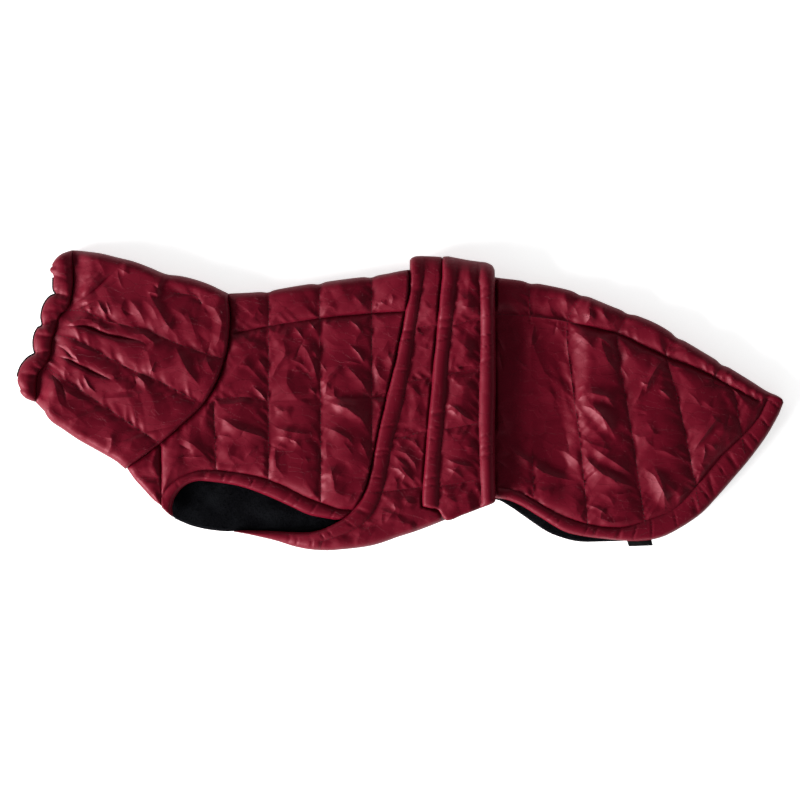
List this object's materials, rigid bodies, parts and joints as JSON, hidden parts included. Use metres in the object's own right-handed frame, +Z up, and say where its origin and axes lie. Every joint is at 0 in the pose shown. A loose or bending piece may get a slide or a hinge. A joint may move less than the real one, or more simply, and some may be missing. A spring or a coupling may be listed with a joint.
{
  "type": "dog winter coat",
  "caption": "Quilted padded winter coat for a slim dog with a gathered collar, tail flap and belly wings, empty and lying flat on its side.",
  "frame": {"origin": "centre of the bounding box's underside, on the surface that the coat lies on", "axes": "+X towards the tail flap's point, +Y towards the spine fold, +Z up"},
  "size_m": [0.736, 0.2885, 0.0291],
  "materials": {
    "quilted_nylon": "glossy burgundy nylon taffeta, quilted over padding",
    "black_fleece": "matt black fleece",
    "black_tape": "black woven tape"
  },
  "bodies": {
    "root": {"back_panel": "quilted_nylon", "collar": "quilted_nylon", "collar_casing": "quilted_nylon", "chest_panel": "quilted_nylon", "belly_panel": "quilted_nylon", "belly_wing_near": "quilted_nylon", "belly_wing_far": "quilted_nylon", "lining_belly": "black_fleece", "lining_tail": "black_fleece", "lining_mouth": "black_fleece", "side_label": "black_tape"}
  },
  "joints": []
}
